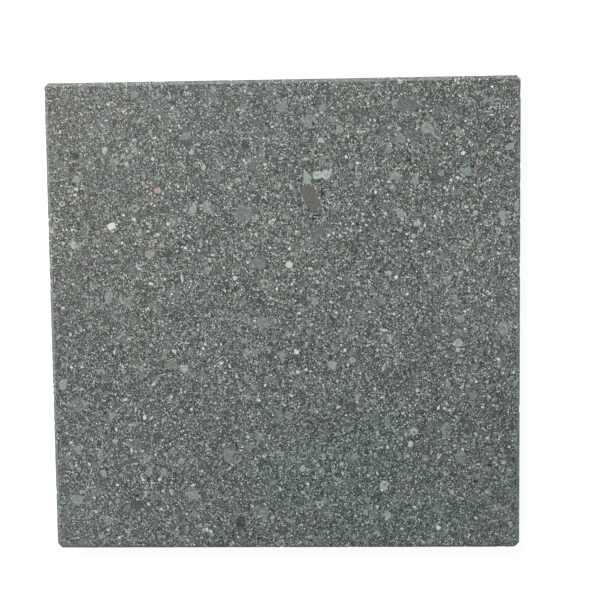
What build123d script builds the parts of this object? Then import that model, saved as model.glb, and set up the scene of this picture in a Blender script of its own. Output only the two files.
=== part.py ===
"""A square stone paver, sawn from one block and eased along its top edges.

The slab lies flat on its sawn bed, with its honed wearing face up. The four upright
corners are nipped off at 45 degrees over their whole height. Every edge of the wearing
face has a ground arris, a narrow bevel at 45 degrees. The arrises meet in a mitre at
each side of a nipped corner. Handling has worn all these edges a little round, and
only the edges of the bed are left as sharp as the saw cut them.

Millimetres. The origin is the centre of the bed, +Z is up, and +Y is the far side.
"""
from build123d import *
import os

# The slab
side_x = 300.0
side_y = 300.0
thickness = 30.0

# The nipped corners: the leg of the cut along each side
corner_nip = 2.8

# The ground arrises, each measured across the wearing face. They were run by hand
# along a wheel, so they are not all of one width.
arris_left = 2.4
arris_right = 2.4
arris_near = 1.6
arris_far = 2.8
arris_corner = 2.0

# The radius that wear has given every edge above the bed
worn_radius = 0.4


def sawn_blank():
    """The slab as it leaves the saw, square all round."""
    return extrude(Rectangle(side_x, side_y), amount=thickness)


def nip_corners(stone):
    """Cuts the four upright corners off at 45 degrees."""
    upright_corners = stone.edges().filter_by(Axis.Z)
    return chamfer(upright_corners, corner_nip)


def grinding_passes():
    """The edges of the wearing face, each as (outward, distance, width).

    outward is the way that the edge faces in plan, distance is from the slab's centre
    to the upright face below the edge, and width is that of its arris.
    """
    half_x = side_x / 2
    half_y = side_y / 2
    to_corner_face = (half_x + half_y - corner_nip) / 2**0.5
    sides = [
        (Vector(-1, 0), half_x, arris_left),
        (Vector(1, 0), half_x, arris_right),
        (Vector(0, -1), half_y, arris_near),
        (Vector(0, 1), half_y, arris_far),
    ]
    corners = [
        (Vector(x, y).normalized(), to_corner_face, arris_corner)
        for x in (-1, 1)
        for y in (-1, 1)
    ]
    return sides + corners


def grind_arrises(stone):
    """Bevels the edges of the wearing face, one pass of the wheel for each.

    A pass takes off all that lies outside a plane at 45 degrees. The plane meets the
    upright face one arris width below the wearing face.
    """
    for outward, distance, width in grinding_passes():
        low_rim = outward * distance + Vector(0, 0, thickness - width)
        wheel = Plane(origin=low_rim, z_dir=outward + Vector(0, 0, 1))
        stone = split(stone, bisect_by=wheel, keep=Keep.BOTTOM)
    return stone.solid()


def wear_edges(stone):
    """Rounds every edge above the bed: rims of arrises, mitres and uprights."""
    worn_edges = stone.edges().filter_by(lambda edge: edge.center().Z > 0)
    return fillet(worn_edges, worn_radius).solid()


def make_slab():
    """The finished paver."""
    stone = sawn_blank()
    stone = nip_corners(stone)
    stone = grind_arrises(stone)
    return wear_edges(stone)


os.makedirs("parts", exist_ok=True)
slab = make_slab()
export_step(slab, "parts/slab.step")
print("slab: volume", round(slab.volume), "mm3,", len(slab.faces()), "faces")
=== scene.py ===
"""Dresses a square stone paver, honed on its face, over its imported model.

The stone is a grey-green volcanic tuff: a dark groundmass crowded with angular crystals,
with rounded fragments of older rock set in it. One pattern fills the whole stone in three
dimensions, so it runs on from the honed face over the ground arrises and down the sawn
sides. The fragments that catch the eye on the face are placed one by one.

Lengths in the classes are millimetres, and meshes are made in metres. The frame is that
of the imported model: the centre of the bed is the origin, +Z is up and +Y is the far side.
"""
from __future__ import annotations

import logging
from dataclasses import dataclass
from enum import Enum
from functools import cache
from math import hypot, pi, radians, sqrt
from typing import Iterable, Iterator, Sequence, Union

import bmesh
import bpy
from bmesh.types import BMEdge, BMesh, BMFace, BMVert
from bpy.types import Material, Node, NodeSocket, NodeTree, Object, World
from mathutils import Euler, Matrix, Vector, noise

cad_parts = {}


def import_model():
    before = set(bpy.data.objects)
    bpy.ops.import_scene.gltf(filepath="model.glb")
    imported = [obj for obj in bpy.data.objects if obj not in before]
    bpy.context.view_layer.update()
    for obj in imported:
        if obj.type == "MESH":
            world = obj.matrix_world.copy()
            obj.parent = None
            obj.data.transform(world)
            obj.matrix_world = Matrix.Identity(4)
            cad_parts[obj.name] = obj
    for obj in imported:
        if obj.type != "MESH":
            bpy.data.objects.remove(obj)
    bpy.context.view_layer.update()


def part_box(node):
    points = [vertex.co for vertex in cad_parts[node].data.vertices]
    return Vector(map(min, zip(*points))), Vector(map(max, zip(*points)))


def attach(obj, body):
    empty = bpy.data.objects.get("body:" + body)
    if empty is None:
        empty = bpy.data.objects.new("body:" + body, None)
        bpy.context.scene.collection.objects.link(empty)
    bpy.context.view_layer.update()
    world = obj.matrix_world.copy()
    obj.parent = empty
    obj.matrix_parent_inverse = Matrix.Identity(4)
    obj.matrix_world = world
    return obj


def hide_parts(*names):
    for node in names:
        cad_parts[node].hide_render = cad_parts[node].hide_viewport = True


MM = 0.001
UP = Vector((0.0, 0.0, 1.0))
Source = Union[NodeSocket, float, Sequence[float]]
Triple = tuple[float, float, float]
Colour = tuple[float, float, float, float]

log = logging.getLogger("paver")


def levels(*shown: float) -> Colour:
    """Turns a colour as a screen shows it into the linear colour that a shader takes.

    Args:
        shown: its red, green and blue levels, 0 to 255.

    Returns:
        The linear colour with an alpha of 1.
    """
    linear = []
    for level in shown:
        share = level / 255
        linear.append(share / 12.92 if share <= 0.04045 else ((share + 0.055) / 1.055) ** 2.4)
    return (*linear, 1.0)


# Node trees


class Graph:
    """A node tree being built, with one short method for each kind of step."""

    def __init__(self, tree: NodeTree) -> None:
        """Takes over the tree that the methods add to."""
        self.tree = tree

    def feed(self, socket: NodeSocket, source: Source) -> None:
        """Links a socket to another, or sets its value.

        Args:
            socket: the input to feed.
            source: an output socket, a number or a list of numbers.
        """
        if isinstance(source, NodeSocket):
            self.tree.links.new(source, socket)
        else:
            socket.default_value = source

    def feed_all(self, sockets: Iterable[NodeSocket], sources: Iterable[Source]) -> None:
        """Feeds sockets in order."""
        for socket, source in zip(sockets, sources):
            self.feed(socket, source)

    def node(self, kind: str, inputs: dict[str, Source] | None = None, **settings: object) -> Node:
        """Adds a node, sets it up and feeds its inputs.

        Args:
            kind: the node's type without the word ShaderNode.
            inputs: what feeds the inputs, by their names.
            settings: the node's own properties.

        Returns:
            The new node.
        """
        made = self.tree.nodes.new(f"ShaderNode{kind}")
        for name, value in settings.items():
            setattr(made, name, value)
        for name, source in (inputs or {}).items():
            self.feed(made.inputs[name], source)
        return made

    def group(self, tree: NodeTree, **inputs: Source) -> Node:
        """Places a node group.

        Args:
            tree: the group's tree.
            inputs: what feeds its inputs, by their names in lower case.

        Returns:
            The group's node.
        """
        made = self.tree.nodes.new("ShaderNodeGroup")
        made.node_tree = tree
        for name, source in inputs.items():
            self.feed(made.inputs[name.capitalize()], source)
        return made

    def maths(self, operation: str, *sources: Source, clamp: bool = False) -> NodeSocket:
        """Works out one number from others.

        Args:
            operation: the name of the Math operation.
            sources: its operands, in order.
            clamp: whether the result is kept between 0 and 1.

        Returns:
            The result.
        """
        made = self.node("Math", operation=operation, use_clamp=clamp)
        self.feed_all(made.inputs, sources)
        return made.outputs[0]

    def vector(self, operation: str, *sources: Source) -> NodeSocket:
        """Works out a vector from vectors, or a number where the operation gives one.

        Args:
            operation: the name of the Vector Math operation.
            sources: its operands, in order.

        Returns:
            The result.
        """
        made = self.node("VectorMath", operation=operation)
        self.feed_all(made.inputs, sources)
        gives_number = operation in ("LENGTH", "DISTANCE", "DOT_PRODUCT")
        return made.outputs["Value" if gives_number else "Vector"]

    def scaled(self, vector: Source, factor: Source) -> NodeSocket:
        """Multiplies a vector by a number."""
        made = self.node("VectorMath", {"Vector": vector, "Scale": factor}, operation="SCALE")
        return made.outputs["Vector"]

    def fade(self, value: Source, start: Source, end: Source,
             low: Source = 0.0, high: Source = 1.0, smooth: bool = True) -> NodeSocket:
        """Carries a value from one range over to another, and stops at its ends.

        Args:
            value: the number to carry over.
            start: the value that gives low.
            end: the value that gives high.
            low: the result at the start.
            high: the result at the end.
            smooth: whether the ends are eased.

        Returns:
            The result.
        """
        made = self.node(
            "MapRange",
            {"Value": value, "From Min": start, "From Max": end, "To Min": low, "To Max": high},
            interpolation_type="SMOOTHSTEP" if smooth else "LINEAR",
        )
        return made.outputs["Result"]

    def mix(self, kind: str, share: Source, below: Source, above: Source) -> NodeSocket:
        """Lays one vector or colour over another.

        Args:
            kind: VECTOR or RGBA.
            share: how much of the upper one shows, 0 to 1.
            below: the one underneath.
            above: the one on top.

        Returns:
            The mixed one.
        """
        made = self.node("Mix", data_type=kind)
        lower, mixed = {"VECTOR": (4, 1), "RGBA": (6, 2)}[kind]
        self.feed_all((made.inputs[0], *made.inputs[lower:lower + 2]), (share, below, above))
        return made.outputs[mixed]

    def clouds(self, place: Source, size: float, detail: float = 0.0) -> Node:
        """Adds smooth noise of a size in millimetres, whose Fac is near 0.5 on the whole."""
        return self.node("TexNoise", {"Vector": place, "Scale": 1 / size, "Detail": detail})

    def straying(self, place: Source, size: float, reach: float) -> NodeSocket:
        """Pushes a position about by up to reach, which makes outlines irregular."""
        push = self.vector("SUBTRACT", self.clouds(place, size).outputs["Color"], (0.5, 0.5, 0.5))
        return self.vector("ADD", place, self.scaled(push, 2 * reach))


def new_group(name: str, inputs: dict[str, str], outputs: dict[str, str]) -> tuple[Graph, Node, Node]:
    """Starts a shader node group.

    Args:
        name: the group's name.
        inputs: the kind of each input socket, by its name.
        outputs: the kind of each output socket, by its name.

    Returns:
        The group's graph, its input node and its output node.
    """
    tree = bpy.data.node_groups.new(name, "ShaderNodeTree")
    for in_out, sockets in (("INPUT", inputs), ("OUTPUT", outputs)):
        for socket, kind in sockets.items():
            tree.interface.new_socket(socket, in_out=in_out, socket_type=f"NodeSocket{kind}")
    return Graph(tree), tree.nodes.new("NodeGroupInput"), tree.nodes.new("NodeGroupOutput")


@cache
def cells() -> NodeTree:
    """Builds the group that fills space with cells, as crystals grow in a rock.

    Returns:
        The group: Reach is the distance from the middle of the cell, in millimetres, and
        Pick, Tone and Warmth are numbers from 0 to 1 drawn for the cell.
    """
    graph, given, result = new_group(
        "cells",
        {"Place": "Vector", "Size": "Float"},
        {"Reach": "Float", "Pick": "Float", "Tone": "Float", "Warmth": "Float"},
    )
    place = graph.scaled(given.outputs["Place"], graph.maths("DIVIDE", 1.0, given.outputs["Size"]))
    cell = graph.node("TexVoronoi", {"Vector": place, "Scale": 1.0}, feature="F1")
    drawn = graph.node("SeparateColor", {"Color": cell.outputs["Color"]})
    reach = graph.maths("MULTIPLY", cell.outputs["Distance"], given.outputs["Size"])
    graph.feed(result.inputs["Reach"], reach)
    graph.feed(result.inputs["Pick"], drawn.outputs["Red"])
    graph.feed(result.inputs["Tone"], drawn.outputs["Green"])
    graph.feed(result.inputs["Warmth"], drawn.outputs["Blue"])
    return graph.tree


RADIUS_TIMES = 37.0
BLUE_TIMES = 29.0
FRAGMENT_RIM = 0.35


@dataclass(frozen=True)
class Crystals:
    """One generation of crystals, each a cell of an angular mosaic.

    size is a cell's width and share the part of the cells that hold a crystal. Their tones
    run from dark to light, as levels of 0 to 255 on a screen, and a skew over 1 keeps most
    of them near the dark end. warm and blue are the ranges of their hues, and cover is how
    much of what lies below a crystal it hides. stretch draws the cells out along a line,
    which is turned by turn degrees from +X.
    """

    name: str
    size: float
    share: float
    dark: float
    light: float
    skew: float = 1.0
    cover: float = 1.0
    warm: tuple[float, float] = (-0.1, 0.1)
    blue: tuple[float, float] = (-0.06, 0.06)
    stretch: float = 1.0
    turn: float = 0.0

    def lay(self, graph: Graph, place: Source, look: Source) -> NodeSocket:
        """Lays the crystals over the stone.

        Args:
            graph: the tree to build in.
            place: the position, in millimetres.
            look: the look below: its tone, its warmth and its blueness.

        Returns:
            The look with the crystals.
        """
        if self.stretch != 1.0:
            mapping = graph.node("Mapping", {"Vector": place}, vector_type="TEXTURE")
            mapping.inputs["Rotation"].default_value = (0.0, 0.0, radians(self.turn))
            mapping.inputs["Scale"].default_value = (self.stretch, 1.0, 1.0)
            place = mapping.outputs["Vector"]
        cell = graph.group(cells(), place=place, size=self.size)
        shown = graph.maths("LESS_THAN", cell.outputs["Pick"], self.share)
        shown = graph.maths("MULTIPLY", shown, self.cover)
        drawn = graph.maths("POWER", cell.outputs["Tone"], self.skew)
        return graph.mix("VECTOR", shown, look, own_look(graph, cell, drawn, self))


@dataclass(frozen=True)
class Fragments:
    """Rounded fragments of older rock, strewn through the stone.

    size is their spacing and share the part of the places that hold one. Their radii run
    from smallest to largest and their tones from dark to light, and cover is how much of
    the grain below them they hide. warm and blue are the ranges of their hues.
    """

    name: str
    size: float
    share: float
    smallest: float
    largest: float
    dark: float
    light: float
    cover: float
    warm: tuple[float, float] = (-0.1, 0.1)
    blue: tuple[float, float] = (-0.06, 0.06)

    def lay(self, graph: Graph, place: Source, look: Source) -> NodeSocket:
        """Lays the fragments over the stone.

        Args:
            graph: the tree to build in.
            place: the position, in millimetres.
            look: the look below: its tone, its warmth and its blueness.

        Returns:
            The look with the fragments.
        """
        cell = graph.group(cells(), place=place, size=self.size)
        drawn = redrawn(graph, cell.outputs["Pick"], RADIUS_TIMES)
        radius = graph.fade(drawn, 0.0, 1.0, self.smallest, self.largest, smooth=False)
        depth = graph.maths("SUBTRACT", radius, cell.outputs["Reach"])
        inside = graph.fade(depth, 0.0, FRAGMENT_RIM)
        present = graph.maths("LESS_THAN", cell.outputs["Pick"], self.share)
        shown = graph.maths("MULTIPLY", graph.maths("MULTIPLY", inside, present), self.cover)
        return graph.mix("VECTOR", shown, look, own_look(graph, cell, cell.outputs["Tone"], self))


def redrawn(graph: Graph, drawn: Source, times: float) -> NodeSocket:
    """Draws a second number from 0 to 1 out of a first, by many times its value."""
    return graph.maths("FRACT", graph.maths("MULTIPLY", drawn, times))


def own_look(graph: Graph, cell: Node, drawn: Source, grains: Crystals | Fragments) -> NodeSocket:
    """Gives each cell its own look within the range of its kind.

    Args:
        graph: the tree to build in.
        cell: the cells' group.
        drawn: where in the range of tones the cell lies, 0 to 1.
        grains: the kind of grain.

    Returns:
        The tone, the warmth and the blueness, as a vector.
    """
    spans = (
        (drawn, grains.dark / 255, grains.light / 255),
        (cell.outputs["Warmth"], *grains.warm),
        (redrawn(graph, cell.outputs["Warmth"], BLUE_TIMES), *grains.blue),
    )
    parts = [graph.fade(value, 0.0, 1.0, low, high, smooth=False) for value, low, high in spans]
    return graph.node("CombineXYZ", dict(zip("XYZ", parts))).outputs["Vector"]


@dataclass(frozen=True)
class Viewpoint:
    """The camera: where it stands, how it is turned, and its lens.

    place is in millimetres and turn in degrees. The picture is a square of that many
    pixels, and the sensor is that many millimetres wide.
    """

    place: Triple = (28.2, 47.2, 600.5)
    turn: Triple = (-3.67, 1.72, -0.70)
    lens: float = 54.0
    sensor: float = 36.0
    picture: float = 600.0

    def orientation(self) -> Euler:
        """Returns the camera's turn, in radians."""
        return Euler([radians(angle) for angle in self.turn])

    def on_level(self, pixel: tuple[float, float], height: float) -> Vector:
        """Finds the point of a level plane that a pixel shows.

        Args:
            pixel: the pixel, from the upper left corner of the picture.
            height: the plane's height, in millimetres.

        Returns:
            The point, in millimetres.
        """
        half = self.picture / 2
        focal = self.lens / self.sensor * self.picture
        ray = Vector(((pixel[0] - half) / focal, (half - pixel[1]) / focal, -1.0))
        ray.rotate(self.orientation())
        place = Vector(self.place)
        return place + ray * ((height - place.z) / ray.z)

    def stand(self) -> Object:
        """Makes the camera and gives it to the scene.

        Returns:
            The camera's object.
        """
        data = bpy.data.cameras.new("camera")
        data.lens = self.lens
        data.sensor_width = self.sensor
        camera = bpy.data.objects.new("camera", data)
        camera.location = Vector(self.place) * MM
        camera.rotation_euler = self.orientation()
        bpy.context.scene.collection.objects.link(camera)
        bpy.context.scene.camera = camera
        return camera


@dataclass(frozen=True)
class Clast:
    """One fragment or crystal that stands out on the face.

    seen_at is the pixel of its middle in the picture. length and width are its real sizes
    in millimetres, and tilt turns its length anticlockwise from +X, in degrees.
    """

    seen_at: tuple[float, float]
    length: float
    width: float
    tilt: float = 0.0

    def told(self, graph: Graph, place: Source, middle: Vector) -> NodeSocket:
        """Tells a position by the clast's own length, width and depth.

        A Mapping node would do this alone, but a shader has no room for a hundred of them.

        Args:
            graph: the tree to build in.
            place: the position, in millimetres.
            middle: the clast's middle, in millimetres.

        Returns:
            The position, whose length is 1 on the clast's rim.
        """
        if self.tilt:
            turned = graph.node("VectorRotate", {"Vector": place}, rotation_type="Z_AXIS")
            turned.inputs["Center"].default_value = middle
            turned.inputs["Angle"].default_value = -radians(self.tilt)
            place = turned.outputs["Vector"]
        depth = (self.length + self.width) / 2
        halves = (self.length / 2, self.width / 2, depth / 2)
        per_half = [1 / half for half in halves]
        start = [-along / half for along, half in zip(middle, halves)]
        return graph.vector("MULTIPLY_ADD", place, per_half, start)


FAR_OFF = 9.0
RING_INSIDE = (0.35, 0.65)


@dataclass(frozen=True)
class ClastKind:
    """The clasts of one rock: their colour, and how they sit in the stone.

    cover is how much of the grain below them they hide, and core how much of that is left
    in their middle, which is little in a ring. edge is how far their rim fades, as a share
    of their radius. blocky gives them corners, and straight makes them clear crystals,
    whose outline doesn't stray and whose colour is even.
    """

    name: str
    colour: Triple
    clasts: tuple[Clast, ...]
    cover: float = 0.9
    edge: float = 0.3
    core: float = 1.0
    blocky: bool = False
    straight: bool = False

    def lay(self, graph: Graph, places: tuple[Source, Source], mottle: Source, colour: Source,
            view: Viewpoint, height: float) -> NodeSocket:
        """Lays the clasts over a colour.

        Args:
            graph: the tree to build in.
            places: the position in millimetres, strayed for rock and nearly true for crystals.
            mottle: how light rock of one colour is there, about 1.
            colour: the colour below.
            view: the camera that shows their pixels.
            height: the height of the face they show in, in millimetres.

        Returns:
            The colour with the clasts.
        """
        place = places[self.straight]
        own = levels(*self.colour)[:3]
        nearest: Source = FAR_OFF
        for clast in self.clasts:
            inner = clast.told(graph, place, view.on_level(clast.seen_at, height))
            if self.blocky:
                inner = graph.vector("MULTIPLY", inner, inner)
            nearest = graph.maths("MINIMUM", nearest, graph.vector("LENGTH", inner))
        half_edge = self.edge / 2
        shown = graph.fade(nearest, 1.0 + half_edge, 1.0 - half_edge, 0.0, self.cover)
        if self.core != 1.0:
            hollow = graph.fade(nearest, *RING_INSIDE, self.core, 1.0)
            shown = graph.maths("MULTIPLY", shown, hollow)
        return graph.mix("RGBA", shown, colour, (*own, 1.0) if self.straight else graph.scaled(own, mottle))


@dataclass(frozen=True)
class Swell:
    """A broad part of the stone whose tone, hue or grain differs a little, its tone and grain as painted
    light and sheen.

    seen_at is the pixel of its middle in the picture, and reach how far it fades out, in
    millimetres. lighter and warmer are what it adds in its middle: lighter is painted light and
    shade, a broad pool that makes the face lighter or darker than the lamp alone does, and warmer
    a drift of hue. calmer is how much of the grain's contrast it takes off there, a painted
    sheen that stands in for the veil of the lamp's reflection.
    """

    seen_at: tuple[float, float]
    reach: float
    lighter: float = 0.0
    warmer: float = 0.0
    calmer: float = 0.0

    def lay(self, graph: Graph, place: Source, look: Source, middle: Vector) -> NodeSocket:
        """Adds the swell to a look.

        Args:
            graph: the tree to build in.
            place: the position, in millimetres.
            look: the tone, the warmth and the blueness so far.
            middle: the swell's middle, in millimetres.

        Returns:
            The look with the swell.
        """
        away = graph.vector("DISTANCE", place, middle)
        strength = graph.fade(away, self.reach, 0.0)
        # painted sheen: the grain is drawn towards its mean tone, as a veil of reflected light would calm
        # it
        if self.calmer:
            calmed = graph.maths("MULTIPLY", strength, self.calmer)
            look = graph.mix("VECTOR", calmed, look, (MEAN_TONE / 255, 0.0, 0.0))
        # lighter adds painted light, and painted shade where it is negative; warmer shifts the hue
        return graph.vector("ADD", graph.scaled((self.lighter, self.warmer, 0.0), strength), look)


SCREEN_POWER = 2.2
SHEEN = 0.185
GREY = (0.944, 1.033, 0.985)
WARM_WAY = (0.79, -0.30, -0.54)
BLUE_WAY = (0.42, -0.37, 0.83)
GROUND_TONE = 100
MEAN_TONE = 120
DRIFT = (0.03, 0.04, 0.03)
DRIFT_LENGTH = 30.0
# warmth added per metre along X, Y and Z: the hue warms steadily towards the far left corner
RAMP_PER_METRE = (-0.13, 0.25, 0.0)
MOTTLE_SIZE = 1.2
MOTTLE_EDGES = (0.3, 0.7)
MOTTLE = (0.7, 1.3)
STRAYS = (
    ((1.3, 0.2),),
    ((6.0, 1.6), (1.5, 0.35)),
    ((3.5, 0.7), (0.9, 0.25)),
)

# Broad pools of painted light and shade, patches of painted sheen that calm the grain, and drifts of hue.
SWELLS = (
    Swell((60, 530), reach=100.0, lighter=0.031),
    Swell((515, 285), reach=85.0, lighter=0.027, warmer=0.018),
    Swell((340, 468), reach=110.0, lighter=-0.016, warmer=-0.037),
    Swell((220, 110), reach=95.0, lighter=-0.013, warmer=-0.028),
    Swell((85, 265), reach=70.0, lighter=0.004, warmer=0.018),
    Swell((105, 115), reach=105.0, calmer=0.2),
    Swell((390, 95), reach=70.0, calmer=0.08),
    Swell((255, 125), reach=55.0, calmer=0.15),
    Swell((70, 300), reach=50.0, calmer=0.18),
    Swell((75, 525), reach=35.0, calmer=0.18),
    Swell((500, 525), reach=45.0, calmer=0.12),
)

GROUNDMASS = (
    Crystals("patches", size=3.4, share=1.0, dark=74, light=145, skew=1.8, cover=0.46,
             warm=(-0.16, 0.16), blue=(-0.1, 0.1)),
    Crystals("lumps", size=1.4, share=1.0, dark=60, light=188, skew=2.4, cover=0.26,
             warm=(-0.15, 0.15), blue=(-0.1, 0.1)),
    Crystals("grit", size=0.46, share=1.0, dark=36, light=264, skew=2.8, cover=0.56,
             warm=(-0.1, 0.1), blue=(-0.06, 0.06)),
)

FRAGMENTS = (
    Fragments("old rock", size=9.0, share=0.45, smallest=1.5, largest=4.8, dark=75, light=132,
              cover=0.65, warm=(-0.14, 0.14), blue=(-0.08, 0.08)),
    Fragments("pale clots", size=4.2, share=0.35, smallest=0.6, largest=1.8, dark=108,
              light=165, cover=0.55, warm=(-0.14, 0.0)),
    Fragments("dull clots", size=4.5, share=0.3, smallest=0.8, largest=2.1, dark=66, light=96,
              cover=0.6, warm=(-0.05, 0.12)),
    Fragments("dark grains", size=2.4, share=0.25, smallest=0.2, largest=0.75, dark=4,
              light=56, cover=0.85),
)

CRYSTALS = (
    Crystals("angular bits", size=2.4, share=0.07, dark=100, light=190, skew=1.5, cover=0.55,
             warm=(-0.15, 0.04)),
    Crystals("specks", size=0.65, share=0.094, dark=145, light=262, skew=1.3, cover=0.92,
             warm=(-0.05, 0.16), blue=(-0.08, 0.0)),
    Crystals("crystals", size=1.4, share=0.024, dark=130, light=250, skew=1.3, cover=0.9,
             warm=(-0.1, 0.06)),
    Crystals("laths", size=0.8, share=0.005, dark=140, light=215, skew=1.4, stretch=3.5, turn=35,
             cover=0.8),
    Crystals("crossing laths", size=0.8, share=0.005, dark=140, light=215, skew=1.4,
             stretch=3.5, turn=-50, cover=0.8),
    Crystals("level laths", size=0.75, share=0.005, dark=140, light=225, skew=1.4,
             stretch=3.5, turn=-8, cover=0.8),
    Crystals("steep laths", size=0.75, share=0.005, dark=140, light=225, skew=1.4,
             stretch=3.5, turn=84, cover=0.8),
)

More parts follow.
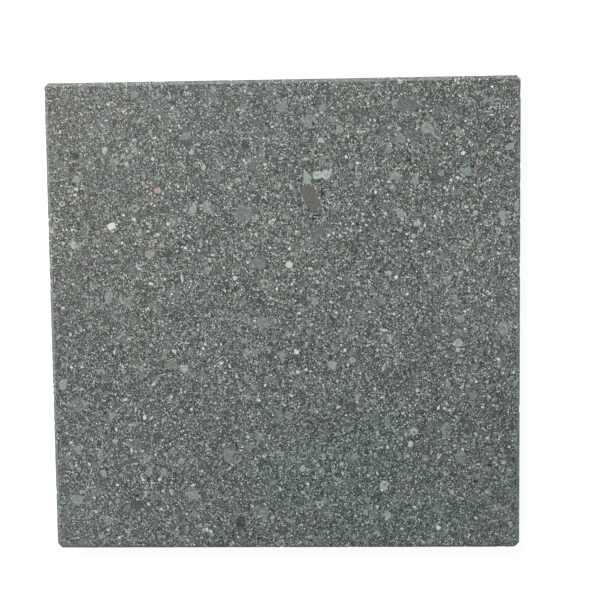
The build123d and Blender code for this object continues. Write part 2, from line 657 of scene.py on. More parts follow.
CLAST_KINDS = (
    ClastKind("quiet rock", (124, 130, 127), cover=0.7, edge=0.4, clasts=(
        Clast((243.5, 214), 12, 11), Clast((259, 263), 8.6, 6.4, -20), Clast((78, 405), 8, 10.4),
        Clast((367.5, 84), 5.2, 5), Clast((502.5, 356), 5.4, 5.2), Clast((325, 356), 5, 4.4),
        Clast((485, 497), 4, 4.4), Clast((400, 495), 5, 4.6),
    )),
    ClastKind("dim rock", (107, 113, 110), cover=0.7, edge=0.35, clasts=(
        Clast((406.5, 104.5), 13, 9, 10), Clast((317, 232), 11, 7, 15), Clast((473, 499), 6, 3.4, 20),
        Clast((434, 162), 4.6, 6, -30), Clast((351.7, 483), 9, 6, -10), Clast((437.5, 115), 5.4, 5),
    )),
    ClastKind("dark rock", (83, 88, 86), cover=0.75, edge=0.3, clasts=(
        Clast((437, 178), 10.6, 7.6, 30), Clast((189.5, 142.5), 6.2, 4.2, 35), Clast((136, 505), 7.2, 6.6),
        Clast((351, 407), 7.4, 5.6, 40), Clast((158.5, 437), 6.6, 5.6), Clast((58.3, 364), 3.8, 4.4),
        Clast((205, 497), 4.6, 3, -30), Clast((106.7, 321), 5, 4.8), Clast((159.5, 488), 4, 3.2),
        Clast((203.5, 253), 4.4, 3.6), Clast((507.5, 346), 4.4, 2.4, -15),
        Clast((343.5, 511.5), 2.6, 3.6, 20), Clast((64.7, 332), 5.4, 5.2), Clast((414, 363.5), 3.2, 2.4),
        Clast((499, 458.5), 3, 2.4), Clast((283, 530), 6.4, 5.6),
    )),
    ClastKind("charcoal rock", (63, 65, 65), cover=0.78, edge=0.3, clasts=(
        Clast((114.5, 123), 3.2, 4.6), Clast((240.9, 522.6), 7.4, 6.8, 30), Clast((168, 254), 5, 4),
        Clast((245, 145.3), 4.6, 5.4, -20), Clast((75.3, 156.2), 4.8, 4.6, 30),
        Clast((271, 357.5), 5.2, 4.6),
    )),
    ClastKind("soft rock", (140, 148, 143), cover=0.72, edge=0.35, clasts=(
        Clast((262, 322.5), 8, 8), Clast((264.2, 512.6), 6, 6), Clast((227.8, 455.5), 5.6, 9.6, 8),
        Clast((140, 232.5), 3.2, 5.2, -10), Clast((460.7, 457), 6.6, 8, -15),
        Clast((388.8, 149.5), 4.4, 4.4), Clast((478.4, 234.4), 3.2, 4.2), Clast((135, 94), 4.8, 3.8, 30),
        Clast((186, 135.5), 6.6, 5, 20), Clast((427.3, 127.7), 6.4, 6.8), Clast((400.2, 137.8), 5.6, 5.6),
        Clast((473, 396), 4.4, 5), Clast((127, 303), 6.4, 6), Clast((309.4, 121.7), 9, 8.2),
        Clast((281.5, 107), 7.4, 6.6), Clast((322.7, 107.7), 4.8, 5), Clast((332, 119.5), 4.6, 3.8),
        Clast((172.8, 451.7), 5.8, 4.4), Clast((255, 351.7), 6.4, 4.2), Clast((246, 352.5), 4.8, 4),
        Clast((288.3, 415), 5.4, 5.4), Clast((278.3, 413.5), 4.8, 3.6, 15), Clast((259.2, 438), 4.8, 4.4),
        Clast((382.5, 300.8), 4.8, 4.2), Clast((453.3, 248.5), 4.6, 4.2), Clast((366.7, 405), 3.6, 3.8),
        Clast((387.5, 422.5), 3.6, 5),
    )),
    ClastKind("greenish rock", (152, 161, 155), cover=0.75, edge=0.3, clasts=(
        Clast((76.6, 179.5), 5.4, 5.4), Clast((134, 148.3), 3.2, 6.8, 40), Clast((206.7, 205.3), 5.2, 5),
        Clast((339.7, 129), 4.6, 4.8), Clast((399.9, 213.4), 3.8, 6.8, 25), Clast((393.6, 102.3), 3.8, 4),
        Clast((458.4, 131), 3.6, 6.6, 10), Clast((108.9, 297), 5, 8.8, -8),
        Clast((415.8, 179), 3.8, 8.2, -8), Clast((112.8, 415), 5.6, 3.8, 10), Clast((150, 471), 4.4, 5),
        Clast((503.2, 328), 7, 8.6), Clast((281.6, 355), 5.4, 5, -20), Clast((492, 99), 3.8, 4.6),
        Clast((116.4, 161.7), 4, 3.6), Clast((395, 175), 7.2, 4.6, -10),
        Clast((441.7, 173.3), 3.8, 3.2, 40), Clast((395.8, 300), 3.4, 3.6), Clast((315, 301), 4.4, 5, -30),
        Clast((83.7, 457.5), 2.4, 2.8), Clast((159.5, 535.8), 4, 2.4), Clast((480.8, 245), 2.6, 3.4),
        Clast((118.3, 500.5), 3, 2.8),
    )),
    ClastKind("blocky greenish rock", (154, 164, 160), cover=0.75, edge=0.3, blocky=True, clasts=(
        Clast((77.6, 500), 7.6, 5.8, 12), Clast((78, 450.2), 4.2, 5.6, 20),
        Clast((192.7, 494.2), 7.4, 5.2, 5), Clast((163.6, 472.6), 4, 5.4, -8),
    )),
    ClastKind("blue-green rock", (144, 160, 158), cover=0.8, edge=0.3, clasts=(
        Clast((240.2, 172.4), 6.4, 1.2, 43), Clast((467, 171.2), 5.8, 5.6), Clast((384.2, 485.2), 4.6, 5.8),
        Clast((444.8, 437), 2.8, 2.8), Clast((355.1, 456.6), 4.8, 4.8), Clast((400.3, 407), 8.4, 1.7, 45),
        Clast((445, 426), 2.6, 4.6, -10), Clast((305, 425), 2.4, 2.6), Clast((460, 318.3), 5.8, 4.2, -25),
        Clast((291.7, 521), 5, 2.6, -10), Clast((445.8, 531), 2.4, 4, -15), Clast((367.5, 499.2), 3.4, 2.8),
        Clast((337.5, 479.2), 4.6, 2.4, -30),
    )),
    ClastKind("mint rock", (168, 183, 180), cover=0.85, edge=0.3, clasts=(
        Clast((387.8, 515), 4.8, 4.4), Clast((341.7, 464.2), 3.4, 3.2), Clast((320, 504.2), 4.6, 4.4),
        Clast((308.3, 536.7), 4.4, 1.8, 10), Clast((390, 339.2), 3.6, 2.8, 15),
    )),
    ClastKind("dull tan rock", (136, 131, 125), cover=0.8, edge=0.3, clasts=(
        Clast((270.8, 88.6), 4.8, 2.2, 12), Clast((171, 365.5), 8.8, 4.6, -14),
        Clast((500.5, 92.5), 3, 2.8), Clast((66.5, 98.5), 2.6, 2.6), Clast((295, 191), 3, 3.2),
        Clast((267.5, 380), 3.4, 3.6), Clast((295.8, 383.3), 4.2, 3.2), Clast((64.7, 332), 2.8, 2.8),
        Clast((312.5, 523.3), 3.2, 3), Clast((151.7, 305), 5, 3.4, -20), Clast((118.5, 112), 3.8, 1.6, 20),
        Clast((466.7, 485), 3.6, 2.2), Clast((163.3, 126.5), 4.2, 3.4),
    )),
    ClastKind("tan rock", (160, 156, 148), cover=0.85, edge=0.3, clasts=(
        Clast((430.8, 469.2), 3.6, 1.8, 60), Clast((149.5, 254), 6, 4.2, 20), Clast((482.5, 153), 3.4, 3),
        Clast((366.8, 99.8), 2.8, 2.2, 30), Clast((448, 383), 3.8, 2.2),
        Clast((286.4, 216.8), 5.6, 2.4, -20), Clast((54.5, 226.8), 3, 2.2), Clast((409.5, 410), 2, 2),
        Clast((286.7, 519), 3.4, 1.8, -10), Clast((330.8, 456.7), 2.4, 3.4, -10),
        Clast((239.2, 460.5), 5.6, 1.8, 60), Clast((103.7, 517), 5, 2.2, -5),
        Clast((508.3, 518.3), 1.8, 3.2),
    )),
    ClastKind("brown-grey rock", (103, 101, 99), cover=0.93, edge=0.15, blocky=True, clasts=(
        Clast((310.8, 198.2), 16.4, 8, -62),
    )),
    ClastKind("pale rock", (164, 172, 166), cover=0.82, edge=0.3, clasts=(
        Clast((510.3, 146.7), 5.6, 3.6, 15), Clast((103.5, 473), 4.2, 4.6), Clast((517, 205.5), 3.4, 7.8),
        Clast((307, 178.5), 5, 7, 15), Clast((149.5, 458.7), 2.4, 4.6, -15),
        Clast((192.8, 209.5), 4.2, 7.4, -15), Clast((502.5, 216), 4.4, 7, 10),
        Clast((180.5, 460.5), 3.2, 3.2), Clast((165.8, 454), 3, 2.8), Clast((332.5, 365), 4.4, 6.2, 30),
        Clast((62.8, 384.6), 5.4, 6.8), Clast((486, 222.2), 1.9, 4.6, -10),
        Clast((217.8, 162), 1.4, 5.6, 20), Clast((247.5, 162), 7.6, 1.3, 50),
        Clast((434, 134.8), 1.7, 4.6, 35), Clast((182, 165), 6.7, 1.2, -58),
        Clast((449.2, 278.3), 5, 3, 30), Clast((365, 511.7), 3.2, 3), Clast((139.5, 518.4), 1.6, 4, 5),
        Clast((400.8, 230), 2.6, 2.4), Clast((375.3, 455.3), 1.8, 3.8, 5),
    )),
    ClastKind("light rock", (178, 187, 181), cover=0.87, edge=0.3, clasts=(
        Clast((385.3, 213.6), 2.8, 2.4), Clast((184, 369), 3.8, 5.2, 15), Clast((104.8, 150.2), 3, 5, -35),
        Clast((383.9, 366.8), 2, 5.4, -20), Clast((171, 490.5), 3.2, 2.6),
        Clast((203.6, 166.8), 2.6, 4.2, -10), Clast((417.5, 223), 5, 3.8, 25),
        Clast((302.7, 468.6), 3.2, 3.4), Clast((413.6, 235.8), 2.6, 3.2, -20), Clast((73, 244.6), 3.8, 5),
        Clast((458.2, 342.8), 5.2, 4.8), Clast((476.7, 298.5), 2.4, 3.2),
        Clast((388.3, 273), 4.8, 2.6, -15), Clast((475.2, 212.6), 3.4, 3.2), Clast((115.5, 441), 3.2, 3),
        Clast((461.7, 356), 2.4, 1.9, -20), Clast((131.4, 424.7), 4.2, 2, 10),
        Clast((451.7, 492.5), 3.4, 3.4),
    )),
    ClastKind("pink rock", (185, 164, 151), cover=0.92, edge=0.25, clasts=(
        Clast((157.6, 191.2), 3.7, 3.3), Clast((472.5, 206.8), 2.2, 2.2),
    )),
    ClastKind("mint fragment", (162, 175, 167), cover=0.97, edge=0.12, clasts=(
        Clast((316.9, 175.1), 4.8, 5), Clast((321.4, 175), 3, 3.2), Clast((325.8, 174.4), 5.8, 5.6),
    )),
    ClastKind("mint rim", (182, 194, 187), cover=0.7, edge=0.2, core=0.0, clasts=(
        Clast((316.9, 175.1), 5, 5.2), Clast((325.8, 174.4), 6, 5.8),
    )),
    ClastKind("rings", (158, 166, 160), cover=0.8, edge=0.3, core=0.1, clasts=(
        Clast((427.3, 127.7), 6.8, 7.2), Clast((135, 208.5), 5, 5), Clast((70.5, 253), 2.8, 2.6),
        Clast((315, 152), 4.6, 5.4), Clast((425.5, 458), 4, 4), Clast((100.3, 455), 3.4, 6.6, -10),
        Clast((127.5, 379), 3.4, 4.2), Clast((265.8, 283.5), 4.4, 5), Clast((193.7, 513.3), 4.2, 2.8, 20),
        Clast((400, 213.4), 4.2, 7.2, 25), Clast((280.8, 543.5), 5.4, 4.6),
    )),
    ClastKind("bright rings", (188, 197, 192), cover=0.85, edge=0.3, core=0.15, clasts=(
        Clast((56, 219.8), 3.4, 3.8), Clast((384.2, 485), 5, 6.2), Clast((352.5, 359.8), 3.6, 3.6),
        Clast((414.4, 431.8), 4.8, 4.2), Clast((498.4, 230.5), 3.4, 4), Clast((62, 203.7), 3.8, 3.4),
    )),
    ClastKind("pale crystals", (179, 184, 180), edge=0.25, straight=True, clasts=(
        Clast((291, 187), 1.7, 4.4, 20), Clast((191.8, 152), 2.4, 2.8, 15),
        Clast((321.2, 140.3), 4.6, 2.6, -35), Clast((306, 159), 3.2, 1.8, 15),
        Clast((400, 81.8), 3.4, 2.6, 15), Clast((126.3, 164.1), 2.8, 3), Clast((399, 128.6), 2.8, 2.2),
        Clast((221, 363), 3.2, 1.9), Clast((413.3, 114.5), 1.9, 1.9), Clast((110.3, 502.5), 1.9, 2.3),
        Clast((502.8, 223), 3.4, 2.2, 15),
    )),
    ClastKind("bright crystals", (205, 211, 207), edge=0.25, straight=True, clasts=(
        Clast((388.6, 181.6), 2.4, 1.7), Clast((454.5, 445.5), 2.4, 1.5), Clast((466, 206.8), 2.4, 2),
        Clast((157.8, 234.4), 2.2, 2), Clast((151.4, 418), 3.6, 1.4, 40), Clast((182, 278.6), 1.5, 5.6, 5),
        Clast((439.4, 456.2), 4.4, 1.2, 48), Clast((417.5, 390.6), 2.4, 2.2),
        Clast((174, 351), 3.4, 2.2, -40), Clast((281.5, 144.7), 2.6, 1.2, -40),
        Clast((403, 413), 2.4, 1.8, 30), Clast((410.4, 443.9), 3, 4.2, -20),
        Clast((131.5, 450.5), 1.6, 3.2), Clast((265, 164.6), 2.4, 1.6, 30), Clast((444.5, 408.5), 2.2, 2),
        Clast((159.3, 116.6), 3, 1.2, -50), Clast((235, 278), 3, 2.6, 30), Clast((75.5, 195), 1.8, 1.8),
        Clast((247.6, 262.3), 2.2, 2), Clast((152.6, 159), 2.2, 2.6, 20), Clast((134.3, 219.6), 2, 2.8, 10),
        Clast((161.2, 509.2), 2.3, 2.1), Clast((280, 489.2), 1.3, 3.2, 5), Clast((186.7, 514.2), 1.5, 1.9),
        Clast((469.2, 535), 1.7, 1.7), Clast((377.5, 506.3), 2, 1.5), Clast((67, 433.3), 1.5, 1.7),
        Clast((76.2, 465), 2.2, 1.1, 25), Clast((503.3, 462.5), 3.2, 1.2, 30),
        Clast((255.8, 459.2), 1.8, 1.5), Clast((96.2, 511.7), 2.4, 2.1), Clast((457.7, 350), 2, 2.4),
        Clast((331, 302), 2.6, 1.7, -25), Clast((76, 189.2), 2.4, 2.2),
    )),
    ClastKind("white crystals", (225, 227, 224), cover=1.0, edge=0.25, straight=True, clasts=(
        Clast((193.2, 485.2), 3.4, 1.1, 14), Clast((438.4, 527.6), 2.9, 2.6, -20),
        Clast((491.8, 114.7), 3, 1, 5), Clast((396.2, 277.2), 2.2, 2.6, -20),
        Clast((463.3, 152.9), 3, 2.2, 10), Clast((297, 352.2), 2.6, 2.4), Clast((345, 350), 1.8, 2.2),
        Clast((144.6, 417.4), 2, 3.4, -10), Clast((485.2, 196.3), 2.2, 1.3, -45),
        Clast((159.5, 479.5), 2.3, 2), Clast((435, 216), 1.7, 1.6), Clast((119.5, 537.5), 2.2, 1.6, 30),
        Clast((221.3, 363.4), 2.6, 1.3, 40),
    )),
    ClastKind("cream crystals", (212, 203, 183), cover=1.0, edge=0.25, straight=True, clasts=(
        Clast((63, 308), 2.3, 1.9), Clast((441.6, 310.8), 1.7, 1.1), Clast((469.3, 287.3), 1.6, 1.4),
        Clast((153, 276.8), 1.1, 1.3),
    )),
    ClastKind("white block", (221, 221, 219), cover=1.0, edge=0.15, blocky=True, straight=True, clasts=(
        Clast((111.3, 226.3), 5, 4, 25),
    )),
    ClastKind("round white crystal", (209, 209, 200), cover=1.0, edge=0.14, straight=True, clasts=(
        Clast((289.2, 264.8), 4.5, 4.4),
    )),
    ClastKind("black crystals", (40, 42, 41), edge=0.4, clasts=(
        Clast((322.6, 193.2), 2.8, 3), Clast((313.4, 124), 1.7, 2.9), Clast((321.7, 493.3), 2.4, 2.2),
        Clast((266, 123.7), 1.9, 2.4), Clast((316.3, 152), 2.2, 2.8), Clast((134.7, 208.8), 1.2, 1.2),
        Clast((56, 219.6), 1.3, 1.5), Clast((357.5, 224.5), 1.9, 2.2), Clast((408.8, 160.3), 1.7, 2.6),
        Clast((73.7, 185.3), 1.7, 1.5), Clast((192.5, 197.6), 2.6, 2.2, 20), Clast((201.3, 123), 2.2, 2),
        Clast((338.3, 166.3), 1.6, 2.2), Clast((274.2, 232.6), 1.6, 1.6), Clast((408.3, 236.7), 2, 1.8),
        Clast((501.3, 235), 1.6, 2.4, -15), Clast((380, 271.2), 2, 2.2), Clast((330.8, 356.5), 1, 2.6, 30),
        Clast((89.5, 425), 1.9, 1.9), Clast((490, 465.2), 2.6, 2.2), Clast((475.8, 481.7), 3.2, 1.6),
        Clast((259.2, 538.3), 2.2, 1.8), Clast((220.8, 537.5), 3, 1.8), Clast((236.7, 483.3), 1.3, 1.3),
        Clast((320, 504.4), 1.6, 1.6), Clast((433.3, 375), 1.5, 1.5),
    )),
    ClastKind("black slits", (20, 21, 20), cover=0.95, edge=0.4, straight=True, clasts=(
        Clast((316, 215.6), 4, 1, -5), Clast((313, 218.2), 3.6, 0.7, 5),
    )),
)


@dataclass(frozen=True)
class StoneBody:
    """The stone itself, as one pattern that fills space.

    height is that of the face that shows the placed clasts, in millimetres.
    """

    height: float
    view: Viewpoint

    def build(self) -> NodeTree:
        """Builds the group that every finish of this stone draws on.

        Returns:
            The group: Colour is the stone's colour, and Tone its tone as a share of white.
        """
        graph, _, result = new_group("stone body", {}, {"Colour": "Color", "Tone": "Float"})
        metres = graph.node("TexCoord").outputs["Object"]
        place = graph.scaled(metres, 1 / MM)
        strayed, roamed, ragged = (self.led_astray(graph, place, ways) for ways in STRAYS)
        look: Source = (GROUND_TONE / 255, 0.0, 0.0)
        for layers, spot in ((GROUNDMASS, strayed), (FRAGMENTS, roamed), (CRYSTALS, strayed)):
            for layer in layers:
                look = layer.lay(graph, spot, look)
                log.info("laid the %s", layer.name)
        look = graph.vector("ADD", look, self.drift(graph, place))
        # the swells paint broad pools of light, shade and sheen onto the stone's look, and drift its hue
        for swell in SWELLS:
            middle = self.view.on_level(swell.seen_at, self.height)
            look = swell.lay(graph, place, look, middle)
        parts = graph.node("SeparateXYZ", {"Vector": look})
        tone = parts.outputs["X"]
        hue = graph.vector("ADD", graph.scaled(WARM_WAY, parts.outputs["Y"]), GREY)
        hue = graph.vector("ADD", graph.scaled(BLUE_WAY, parts.outputs["Z"]), hue)
        colour = graph.scaled(hue, graph.maths("POWER", tone, SCREEN_POWER))
        shades = graph.clouds(place, MOTTLE_SIZE, 2.0).outputs["Fac"]
        mottle = graph.fade(shades, *MOTTLE_EDGES, *MOTTLE)
        for kind in CLAST_KINDS:
            colour = kind.lay(graph, (ragged, strayed), mottle, colour, self.view, self.height)
            log.info("placed %d %s", len(kind.clasts), kind.name)
        graph.feed(result.inputs["Colour"], colour)
        graph.feed(result.inputs["Tone"], tone)
        return graph.tree

    def drift(self, graph: Graph, place: Source) -> NodeSocket:
        """Makes the slow drift of tone and hue through the stone, and a steady warming of the hue towards
        the far left corner.

        Args:
            graph: the tree to build in.
            place: the position, in millimetres.

        Returns:
            What it adds to the tone, the warmth and the blueness.
        """
        waves = graph.clouds(place, DRIFT_LENGTH, 2.0).outputs["Color"]
        centred = graph.vector("SUBTRACT", waves, (0.5, 0.5, 0.5))
        drifted = graph.vector("MULTIPLY", centred, DRIFT)
        per_mm = [part * MM for part in RAMP_PER_METRE]
        warmer = graph.vector("DOT_PRODUCT", place, per_mm)
        warming = graph.node("CombineXYZ", {"Y": warmer}).outputs["Vector"]
        return graph.vector("ADD", drifted, warming)

    def led_astray(self, graph: Graph, place: Source, ways: Iterable[tuple[float, float]]) -> Source:
        """Pushes a position about several times.

        Args:
            graph: the tree to build in.
            place: the position, in millimetres.
            ways: the size and the reach of each push, in millimetres.

        Returns:
            The moved position.
        """
        for size, reach in ways:
            place = graph.straying(place, size, reach)
        return place


class Finish(Enum):
    """How a face of the stone was worked, in the order of the material slots.

    SHADED_NEAR is the near arris, which faces away from the lamp. It is ground like the others, and its own
    slot only holds painted shade that draws it darker.
    """

    HONED = 0
    GROUND = 1
    SAWN = 2
    BED = 3
    SHADED_NEAR = 4


FROST = levels(143, 148, 150)
FROST_LENGTH = 14.0
FROST_EDGES = (0.35, 0.65)
FROST_SPREAD = 0.8
GRAIN_SIZE = 0.9
TONE_EDGES = (0.2, 0.8)
DULLED = 0.05
POLISHED = 0.08


@dataclass(frozen=True)
class Worked:
    """The look that one way of working gives the stone.

    lighten is how much lighter the stone looks than honed, roughness how dull it is, and
    relief the depth of its grain. frosted is the share of it that fine scratches hide, and
    frost their colour. waves are the lengths of the saw's marks along X, Y and Z, and scored
    is their depth. All lengths are millimetres. The near arris's lighten and frost are set lower as painted
    shade, since it faces away from the lamp.
    """

    finish: Finish
    lighten: float
    roughness: float
    relief: float
    frosted: float = 0.0
    frost: Colour = FROST
    waves: Triple = (1.0, 1.0, 1.0)
    scored: float = 0.0

    def material(self, body: NodeTree) -> Material:
        """Makes the material.

        Args:
            body: the group of the stone's pattern.

        Returns:
            The material.
        """
        material = bpy.data.materials.new(f"{self.finish.name.lower()} stone")
        material.use_nodes = True
        material.node_tree.nodes.clear()
        graph = Graph(material.node_tree)
        stone = graph.group(body)
        colour = graph.scaled(stone.outputs["Colour"], self.lighten)
        metres = graph.node("TexCoord").outputs["Object"]
        place = graph.scaled(metres, 1 / MM)
        if self.frosted:
            patches = graph.clouds(place, FROST_LENGTH, 1.0).outputs["Fac"]
            least, most = ((1 + sign * FROST_SPREAD) * self.frosted for sign in (-1, 1))
            share = graph.fade(patches, *FROST_EDGES, least, most)
            colour = graph.mix("RGBA", share, colour, self.frost)
        grain = graph.clouds(place, GRAIN_SIZE, 2.0).outputs["Fac"]
        height = graph.maths("MULTIPLY", grain, self.relief)
        if self.scored:
            drawn_out = graph.vector("DIVIDE", place, self.waves)
            marks = graph.clouds(drawn_out, 1.0, 2.0).outputs["Fac"]
            height = graph.maths("MULTIPLY_ADD", marks, self.scored, height)
        bump = graph.node("Bump", {"Height": height, "Strength": 1.0, "Distance": MM})
        dull, clear = self.roughness + DULLED, self.roughness - POLISHED
        shader = graph.node("BsdfPrincipled", {
            "Base Color": colour,
            "Roughness": graph.fade(stone.outputs["Tone"], *TONE_EDGES, dull, clear),
            "Specular IOR Level": SHEEN,
            "Normal": bump.outputs["Normal"],
        })
        output = graph.node("OutputMaterial")
        graph.feed(output.inputs["Surface"], shader.outputs["BSDF"])
        return material


WORKINGS = (
    Worked(Finish.HONED, lighten=0.895, roughness=0.62, relief=0.05),
    Worked(Finish.GROUND, lighten=1.53, roughness=0.78, relief=0.08, frosted=0.38),
    Worked(Finish.SAWN, lighten=1.25, roughness=0.82, relief=0.1, frosted=0.2,
           waves=(70, 70, 1.6), scored=0.26),
    Worked(Finish.BED, lighten=1.25, roughness=0.85, relief=0.1, frosted=0.2,
           waves=(80, 2.2, 80), scored=0.3),
    # painted shade: the near arris, facing away from the lamp, is drawn darker than the other arrises, its
    # frost too
    Worked(Finish.SHADED_NEAR, lighten=1.09, roughness=0.78, relief=0.08, frosted=0.4,
           frost=levels(128, 127, 125)),
)


CUT_CLOSE = 1e-7


@dataclass
class PaverSlab:
    """The paver: one slab, nipped at its corners and eased along its face.

    low and high are the corners of its box, in metres. The other sizes are millimetres,
    but for those of the map, which are shares of its width. A slope is that of a face's
    normal, and chips are rare and shallow where their gains are low.
    """

    low: Vector
    high: Vector
    corner_nip: float = 2.8
    arris_left: float = 2.4
    arris_right: float = 2.4
    arris_near: float = 1.6
    arris_far: float = 2.8
    arris_corner: float = 2.0
    cells_across: int = 64
    cells_down: int = 6
    fine_reaches: tuple[float, ...] = (14.0, 7.0, 4.0)
    bed_reach_share: float = 0.5
    wear_rounds: int = 2
    bed_zone: float = 2.0
    face_slope: float = 0.92
    arris_slope: float = 0.35
    near_slope: float = -0.3
    bed_slope: float = -0.7
    waver: float = 0.3
    waver_length: float = 13.0
    rim_chip: float = 0.4
    bed_chip: float = 0.9
    chip_reach: float = 1.9
    chip_size: float = 2.2
    chip_spacing: float = 11.0
    chip_gain: float = 6.0
    chip_rarity: float = 0.7
    chip_depth_gain: float = 2.5
    map_edge: float = 0.006
    map_share: float = 0.684
    map_step: float = 0.0759

    def grinding_passes(self) -> Iterator[tuple[Vector, float, float]]:
        """Goes round the edges of the face.

        Returns:
            For each edge its outward way, its distance and its arris, in metres.
        """
        half_x = self.high.x
        half_y = self.high.y
        yield Vector((-1, 0, 0)), half_x, self.arris_left * MM
        yield Vector((1, 0, 0)), half_x, self.arris_right * MM
        yield Vector((0, -1, 0)), half_y, self.arris_near * MM
        yield Vector((0, 1, 0)), half_y, self.arris_far * MM
        to_corner = (half_x + half_y - self.corner_nip * MM) / sqrt(2)
        for x in (-1, 1):
            for y in (-1, 1):
                yield Vector((x, y, 0)).normalized(), to_corner, self.arris_corner * MM

    def sawn_blank(self) -> BMesh:
        """Makes the slab as it leaves the saw, square all round.

        Returns:
            The mesh.
        """
        mesh = bmesh.new()
        bmesh.ops.create_cube(mesh, size=1.0)
        bmesh.ops.scale(mesh, vec=self.high - self.low, verts=mesh.verts)
        bmesh.ops.translate(mesh, vec=(self.high + self.low) / 2, verts=mesh.verts)
        return mesh

    def nip_corners(self, blank: BMesh) -> BMesh:
        """Cuts the four upright corners off at 45 degrees.

        The bevel frees its old faces in an order that changes from run to run, and later
        faces fill the gaps in that order. A copy has no gaps, so it's the same each run.

        Args:
            blank: the slab as it leaves the saw, which is used up.

        Returns:
            The nipped slab.
        """
        upright = [edge for edge in blank.edges if is_upright(edge)]
        bmesh.ops.bevel(
            blank, geom=upright, offset=self.corner_nip * MM, offset_type="OFFSET",
            affect="EDGES", segments=1, profile=0.5, material=-1,
        )
        nipped = blank.copy()
        blank.free()
        return nipped

    def grind_arrises(self, mesh: BMesh) -> None:
        """Bevels the edges of the face, one pass of the wheel for each.

        Args:
            mesh: the slab as it stands.
        """
        for outward, distance, width in self.grinding_passes():
            low_rim = outward * distance + UP * (self.high.z - width)
            cut = bmesh.ops.bisect_plane(
                mesh, geom=everything(mesh), plane_co=low_rim, plane_no=outward + UP,
                dist=CUT_CLOSE, clear_outer=True,
            )
            rim = [item for item in cut["geom_cut"] if isinstance(item, BMEdge)]
            bmesh.ops.contextual_create(mesh, geom=rim)

    def mark_finishes(self, mesh: BMesh) -> None:
        """Gives each face the slot of the way it was worked, and the near arris the slot with its painted
        shade.

        Args:
            mesh: the slab as it stands.
        """
        for face in mesh.faces:
            slope = face.normal.z
            if slope > self.face_slope:
                finish = Finish.HONED
            elif slope > self.arris_slope:
                # the near arris faces away from the lamp and takes the slot with painted shade
                finish = Finish.SHADED_NEAR if face.normal.y < self.near_slope else Finish.GROUND
            elif slope > self.bed_slope:
                finish = Finish.SAWN
            else:
                finish = Finish.BED
            face.material_index = finish.value

    def lay_grid(self, mesh: BMesh) -> None:
        """Cuts the faces into a square grid, whose outer lines run along the arrises.

        Args:
            mesh: the slab as it stands.
        """
        spans = (
            (0, self.low.x + self.arris_left * MM, self.high.x - self.arris_right * MM,
             self.cells_across),
            (1, self.low.y + self.arris_near * MM, self.high.y - self.arris_far * MM,
             self.cells_across),
            (2, self.low.z, self.high.z - self.arris_far * MM, self.cells_down),
        )
        for axis, first, last, cells in spans:
            across = Vector((0.0, 0.0, 0.0))
            across[axis] = 1.0
            for index in range(cells + 1):
                line = across * (first + (last - first) * index / cells)
                bmesh.ops.bisect_plane(
                    mesh, geom=everything(mesh), plane_co=line, plane_no=across, dist=CUT_CLOSE
                )

    def from_rims(self, place: Vector) -> float:
        """Measures how far a point of the surface lies from the nearest edge of the slab.

        Args:
            place: the point, in metres.

        Returns:
            The distance in millimetres, and more near the bed, which needs a coarser mesh.
        """
        inward_x = min(place.x - self.low.x, self.high.x - place.x) / MM
        inward_y = min(place.y - self.low.y, self.high.y - place.y) / MM
        inward = min(inward_x, inward_y)
        below_face = (self.high.z - place.z) / MM
        above_bed = (place.z - self.low.z) / MM
        upright = hypot(inward_x, inward_y) - self.corner_nip
        return min(
            max(inward, below_face), max(inward, above_bed) / self.bed_reach_share, upright
        )

    def refine_rims(self, mesh: BMesh) -> None:
        """Halves the grid again and again towards the edges of the slab.

        Args:
            mesh: the slab as it stands.
        """
        for reach in self.fine_reaches:
            near = {vert for vert in mesh.verts if self.from_rims(vert.co) < reach}
            edges = [edge for edge in mesh.edges if near.issuperset(edge.verts)]
            bmesh.ops.subdivide_edges(mesh, edges=edges, cuts=1, use_grid_fill=True)

    def waver_arrises(self, mesh: BMesh) -> None:
        """Lets each arris waver in its width, as a hand lets the wheel sink in more or less.

        Args:
            mesh: the slab as it stands.
        """
        for outward, distance, width in self.grinding_passes():
            low_rim = outward * distance + UP * (self.high.z - width)
            slant = (outward + UP).normalized()
            for vert in mesh.verts:
                beyond = (vert.co - low_rim).dot(slant) / MM
                if beyond > -self.waver:
                    wave = noise.noise(vert.co / (self.waver_length * MM))
                    sunk = beyond + self.waver * max(0.0, wave)
                    vert.co -= slant * max(0.0, sunk) * MM

    def chipped_edges(self) -> Iterator[tuple[Vector, Vector, Vector]]:
        """Goes through the edges that chip.

        Returns:
            For each edge its outward way, a point on it and its deepest chip, in metres.
        """
        for outward, distance, width in self.grinding_passes():
            low_rim = outward * distance + UP * (self.high.z - width)
            yield outward, low_rim, (2 * outward + UP).normalized() * (self.rim_chip * MM)
            yield outward, outward * distance, (outward - UP).normalized() * (self.bed_chip * MM)

    def chip_rims(self, mesh: BMesh) -> None:
        """Breaks chips out of the low rims of the arrises and out of the bed's edges.

        Args:
            mesh: the slab as it stands.
        """
        edges = list(self.chipped_edges())
        for vert in mesh.verts:
            place = vert.co.copy()
            knocked = self.chip_gain * noise.noise(place / (self.chip_spacing * MM)) - self.chip_rarity
            broken = self.chip_depth_gain * noise.noise(place / (self.chip_size * MM))
            if knocked < 0.0 or broken < 0.0 or self.from_rims(place) > self.fine_reaches[-1]:
                continue
            share = min(1.0, knocked) * min(1.0, broken)
            for outward, on_edge, deepest in edges:
                away = place - on_edge
                fading = 1.0 - hypot(away.dot(outward), away.z) / (self.chip_reach * MM)
                if fading > 0.0:
                    vert.co -= deepest * (share * fading)

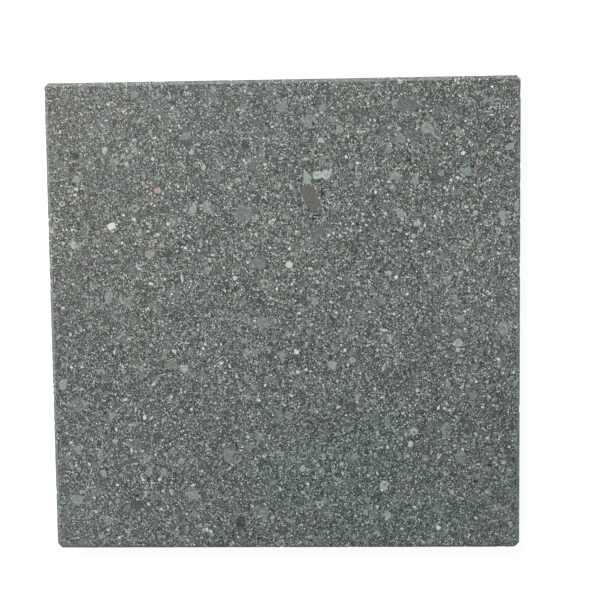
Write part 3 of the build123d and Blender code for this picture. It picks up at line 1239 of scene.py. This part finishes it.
    def lay_map(self, mesh: BMesh) -> None:
        """Unfolds the surface onto the map that its textures are baked to.

        The face and its arrises lie at the lower left, the four sides stand as strips to
        the right of them, and the bed lies above at a smaller scale.

        Args:
            mesh: the slab as it stands.
        """
        sheet = mesh.loops.layers.uv.new("OFBake")
        span = self.high.x - self.low.x
        above = 2 * self.map_edge + self.map_share
        for face in mesh.faces:
            across, along = (0, 1) if abs(face.normal.x) > abs(face.normal.y) else (1, 0)
            strip = 2 * across + (face.normal[across] > 0)
            for loop in face.loops:
                share = (loop.vert.co - self.low) / span
                if face.material_index == Finish.BED.value:
                    left, low, scale = self.map_edge, above, 1.0 - above - self.map_edge
                    spot = share.xy
                elif face.material_index == Finish.SAWN.value:
                    left, low, scale = above + strip * self.map_step, self.map_edge, self.map_share
                    spot = Vector((share.z, share[along]))
                else:
                    left, low, scale = self.map_edge, self.map_edge, self.map_share
                    spot = share.xy
                loop[sheet].uv = Vector((left, low)) + spot * scale

    def wear_rims(self, mesh: BMesh) -> None:
        """Rounds every edge above the bed, as handling does.

        Args:
            mesh: the slab as it stands.
        """
        sharp_below = self.low.z + self.bed_zone * MM
        worn = [vert for vert in mesh.verts
                if vert.co.z > sharp_below and self.from_rims(vert.co) < self.fine_reaches[-1]]
        for _ in range(self.wear_rounds):
            bmesh.ops.smooth_vert(
                mesh, verts=worn, factor=0.5, use_axis_x=True, use_axis_y=True, use_axis_z=True
            )

    def build(self, materials: Sequence[Material]) -> Object:
        """Builds the slab as a piece of the object.

        Args:
            materials: the stone in each of its finishes, in the order of Finish.

        Returns:
            The piece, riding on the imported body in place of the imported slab.
        """
        mesh = self.nip_corners(self.sawn_blank())
        self.grind_arrises(mesh)
        self.lay_grid(mesh)
        self.refine_rims(mesh)
        self.waver_arrises(mesh)
        self.chip_rims(mesh)
        self.wear_rims(mesh)
        bmesh.ops.recalc_face_normals(mesh, faces=mesh.faces)
        mesh.normal_update()
        self.mark_finishes(mesh)
        self.lay_map(mesh)
        for face in mesh.faces:
            face.smooth = True
        data = bpy.data.meshes.new("stone_paver")
        mesh.to_mesh(data)
        mesh.free()
        for material in materials:
            data.materials.append(material)
        piece = bpy.data.objects.new("stone_paver", data)
        bpy.context.scene.collection.objects.link(piece)
        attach(piece, "root")
        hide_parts("slab")
        return piece


def is_upright(edge: BMEdge) -> bool:
    """Tells whether an edge runs straight up."""
    first, second = (vert.co for vert in edge.verts)
    return (first - second).xy.length < CUT_CLOSE


def everything(mesh: BMesh) -> list[BMVert | BMEdge | BMFace]:
    """Lists all the elements of a mesh, as its operators take them."""
    return [*mesh.verts, *mesh.edges, *mesh.faces]


@dataclass(frozen=True)
class Studio:
    """The floor and the light.

    key_place and key_size are the soft lamp's place and width in millimetres. Its light on
    the middle of the face and the sky's add up to 1, at which a colour renders as written.
    """

    key_place: Triple = (-236.0, 395.0, 741.0)
    key_size: float = 330.0
    key_share: float = 0.63
    key_colour: Triple = (1.0, 0.99, 0.975)
    sky_colour: Triple = (0.965, 1.0, 1.015)
    floor_size: float = 6000.0
    floor_white: float = 0.3
    floor_glow: float = 0.88

    def light(self, face_height: float) -> None:
        """Sets up the soft key lamp and the sky.

        Args:
            face_height: the height of the slab's face, in millimetres.
        """
        aim = Vector((0.0, 0.0, face_height))
        ray = Vector(self.key_place) - aim
        distance = ray.length * MM
        lamp = bpy.data.lights.new("key", "AREA")
        lamp.shape = "DISK"
        lamp.size = self.key_size * MM
        lamp.color = self.key_colour
        slant = ray.normalized().z
        lamp.energy = self.key_share * (pi * distance) ** 2 / slant
        key = bpy.data.objects.new("key", lamp)
        key.location = Vector(self.key_place) * MM
        key.rotation_euler = ray.to_track_quat("Z", "Y").to_euler()
        bpy.context.scene.collection.objects.link(key)
        bpy.context.scene.world = self.sky()

    def sky(self) -> World:
        """Makes the even sky, which is seen as white, as the floor is.

        Returns:
            The world.
        """
        world = bpy.data.worlds.new("sky")
        world.use_nodes = True
        world.node_tree.nodes.clear()
        graph = Graph(world.node_tree)
        colour = (*self.sky_colour, 1.0)
        light = graph.node("Background", {"Color": colour, "Strength": 1.0 - self.key_share})
        backdrop = graph.node("Background", {"Color": (1.0, 1.0, 1.0, 1.0)})
        both = graph.node("MixShader")
        rays = (self.seeing_rays(graph), light.outputs[0], backdrop.outputs[0])
        graph.feed_all(both.inputs, rays)
        graph.feed(graph.node("OutputWorld").inputs["Surface"], both.outputs[0])
        return world

    def seeing_rays(self, graph: Graph) -> NodeSocket:
        """Marks the rays that show the background: those of the camera, of gloss and of glass.

        Args:
            graph: the tree to build in.

        Returns:
            The number 1 for such a ray, or else 0.
        """
        path = graph.node("LightPath")
        seen = graph.maths("ADD", path.outputs["Is Camera Ray"], path.outputs["Is Glossy Ray"])
        return graph.maths("ADD", seen, path.outputs["Is Transmission Ray"], clamp=True)

    def floor(self) -> Object:
        """Lays the pale floor, which shows nearly white to the camera and keeps a shadow.

        Returns:
            The floor's object.
        """
        mesh = bmesh.new()
        bmesh.ops.create_grid(mesh, x_segments=1, y_segments=1, size=self.floor_size * MM / 2)
        data = bpy.data.meshes.new("floor")
        mesh.to_mesh(data)
        mesh.free()
        data.materials.append(self.floor_material())
        floor = bpy.data.objects.new("floor", data)
        bpy.context.scene.collection.objects.link(floor)
        return floor

    def floor_material(self) -> Material:
        """Makes the floor's paint, with a glow that lights nothing but is seen.

        Returns:
            The material.
        """
        material = bpy.data.materials.new("floor paint")
        material.use_nodes = True
        material.node_tree.nodes.clear()
        graph = Graph(material.node_tree)
        white = (self.floor_white, self.floor_white, self.floor_white, 1.0)
        paint = graph.node("BsdfDiffuse", {"Color": white})
        strength = graph.maths("MULTIPLY", self.seeing_rays(graph), self.floor_glow)
        glow = graph.node("Emission", {"Strength": strength})
        both = graph.node("AddShader")
        graph.feed_all(both.inputs, (paint.outputs[0], glow.outputs[0]))
        graph.feed(graph.node("OutputMaterial").inputs["Surface"], both.outputs[0])
        return material


def main() -> None:
    """Builds the dressed paver and its studio, and logs the paver's faces and corners."""
    logging.basicConfig(level=logging.INFO, format="%(name)s: %(message)s")
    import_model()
    bpy.context.scene.view_settings.view_transform = "Standard"
    view = Viewpoint()
    view.stand()
    low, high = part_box("slab")
    face_height = high.z / MM
    studio = Studio()
    studio.light(face_height)
    studio.floor()
    body = StoneBody(face_height, view).build()
    materials = [working.material(body) for working in WORKINGS]
    slab = PaverSlab(low, high).build(materials)
    log.info("%s: %d faces, %d corners", slab.name, len(slab.data.polygons), len(slab.data.loops))


if __name__ == "__main__":
    main()
